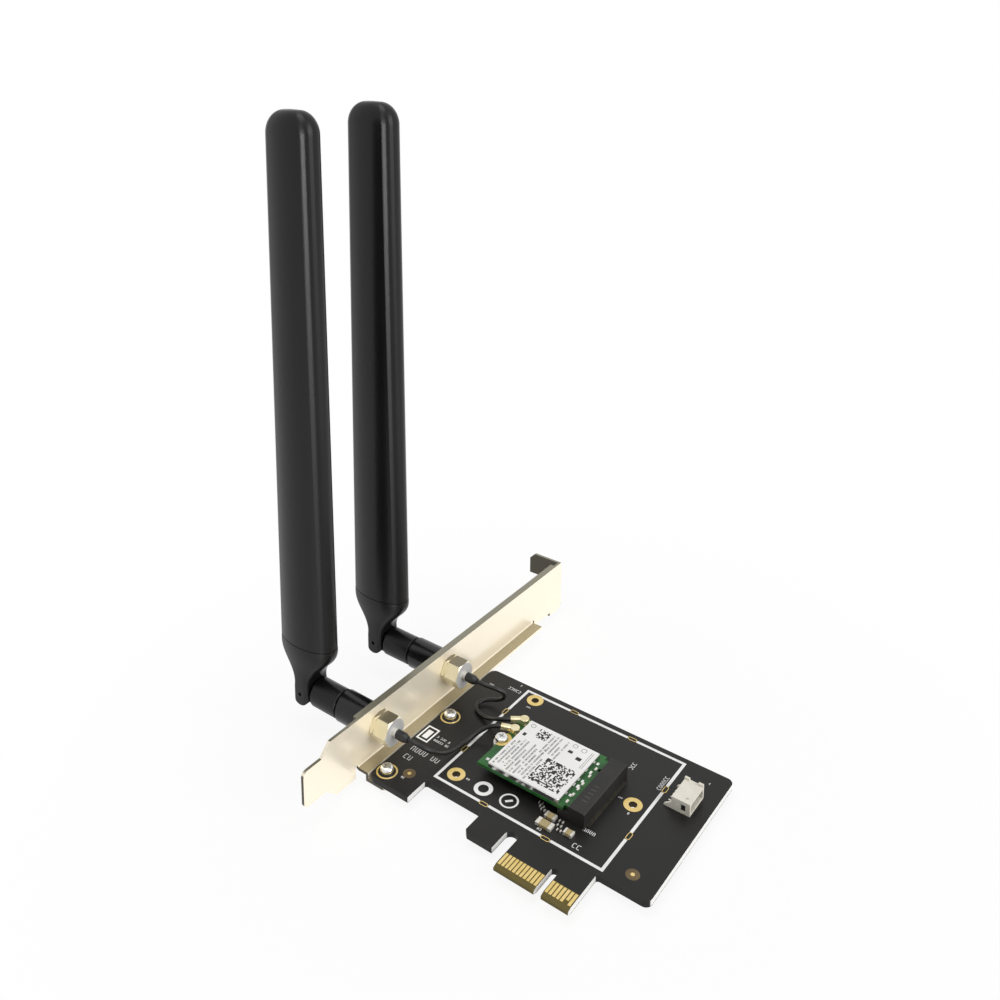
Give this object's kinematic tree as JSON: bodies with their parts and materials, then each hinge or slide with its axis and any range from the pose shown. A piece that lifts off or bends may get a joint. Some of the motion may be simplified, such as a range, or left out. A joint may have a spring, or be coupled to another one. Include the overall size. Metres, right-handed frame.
{
  "type": "wireless network card",
  "caption": "Edge-socket expansion card with a small radio module, pigtail cables, an angled mounting bracket and tilting blade antennas.",
  "frame": {"origin": "middle of the connector key, on the tongue's lower edge, at the board's mid thickness", "axes": "+X from the bracket to the board's free end, +Y from the edge connector up the board, +Z out of the component side"},
  "size_m": [0.1154, 0.1194, 0.1741],
  "materials": {
    "board_black": "satin solder mask",
    "gold_plating": "gold plated",
    "bracket_steel": "nickel plated sheet",
    "screw_chrome": "polished",
    "socket_plastic": "moulded",
    "tinned_metal": "tin or nickel plated",
    "module_green": "solder mask",
    "shield_metal": "plated",
    "label_white": "printed paper film",
    "chip_black": "ceramic and resin",
    "ceramic_tan": "ceramic",
    "header_ivory": "moulded",
    "jack_nickel": "nickel plated brass",
    "ptfe_white": "turned",
    "sleeve_black": "heat shrunk",
    "cable_black": "smooth jacket",
    "nut_black": "black plated",
    "antenna_black": "satin",
    "pin_steel": "dark steel",
    "radiator_copper": "copper strip"
  },
  "bodies": {
    "card": {"main_board": "board_black", "edge_contacts": "gold_plating", "board_pads": "gold_plating", "bracket": "bracket_steel", "bracket_screws": "screw_chrome", "socket_housing": "socket_plastic", "socket_tails": "tinned_metal", "standoff": "tinned_metal", "module_screw": "screw_chrome", "module_board": "module_green", "module_pads": "gold_plating", "module_shield": "shield_metal", "module_label": "label_white", "module_parts": "chip_black", "coax_receptacles": "gold_plating", "capacitor_bodies": "ceramic_tan", "chip_ends": "tinned_metal", "chip_resistors": "chip_black", "header_housing": "header_ivory", "header_contacts": "tinned_metal", "left_jack_body": "jack_nickel", "left_jack_insulator": "ptfe_white", "left_jack_pin": "gold_plating", "left_spacer_nut": "jack_nickel", "left_lock_washer": "tinned_metal", "left_outer_nut": "tinned_metal", "left_crimp_ferrule": "tinned_metal", "left_shrink_sleeve": "sleeve_black", "left_cable_plug": "gold_plating", "left_pigtail_cable": "cable_black", "right_jack_body": "jack_nickel", "right_jack_insulator": "ptfe_white", "right_jack_pin": "gold_plating", "right_spacer_nut": "jack_nickel", "right_lock_washer": "tinned_metal", "right_outer_nut": "tinned_metal", "right_crimp_ferrule": "tinned_metal", "right_shrink_sleeve": "sleeve_black", "right_cable_plug": "gold_plating", "right_pigtail_cable": "cable_black"},
    "left_nut": {"left_coupling_nut": "nut_black"},
    "left_swivel": {"left_barrel": "antenna_black", "left_plug_core": "jack_nickel", "left_plug_contact": "gold_plating"},
    "left_antenna": {"left_lower_cap": "antenna_black", "left_blade_cover": "antenna_black", "left_radiator": "radiator_copper", "left_hinge_pin": "pin_steel"},
    "right_nut": {"right_coupling_nut": "nut_black"},
    "right_swivel": {"right_barrel": "antenna_black", "right_plug_core": "jack_nickel", "right_plug_contact": "gold_plating"},
    "right_antenna": {"right_lower_cap": "antenna_black", "right_blade_cover": "antenna_black", "right_radiator": "radiator_copper", "right_hinge_pin": "pin_steel"}
  },
  "joints": [
    {"name": "left_nut_spin", "type": "hinge", "parent": "card", "child": "left_nut", "pos_m": [-0.0667, 0.0127, 0.0089], "axis": [1, 0, 0], "continuous": true},
    {"name": "left_swivel_turn", "type": "hinge", "parent": "card", "child": "left_swivel", "pos_m": [-0.0764, 0.0127, 0.0089], "axis": [1, 0, 0], "range_deg": [0, 180]},
    {"name": "left_antenna_tilt", "type": "hinge", "parent": "left_swivel", "child": "left_antenna", "pos_m": [-0.0845, 0.0127, 0.0089], "axis": [0, -1, 0], "range_deg": [0, 90]},
    {"name": "right_nut_spin", "type": "hinge", "parent": "card", "child": "right_nut", "pos_m": [-0.0667, 0.0431, 0.0089], "axis": [1, 0, 0], "continuous": true},
    {"name": "right_swivel_turn", "type": "hinge", "parent": "card", "child": "right_swivel", "pos_m": [-0.0764, 0.0431, 0.0089], "axis": [-1, 0, 0], "range_deg": [0, 180]},
    {"name": "right_antenna_tilt", "type": "hinge", "parent": "right_swivel", "child": "right_antenna", "pos_m": [-0.0845, 0.0431, 0.0089], "axis": [0, -1, 0], "range_deg": [0, 90]}
  ]
}
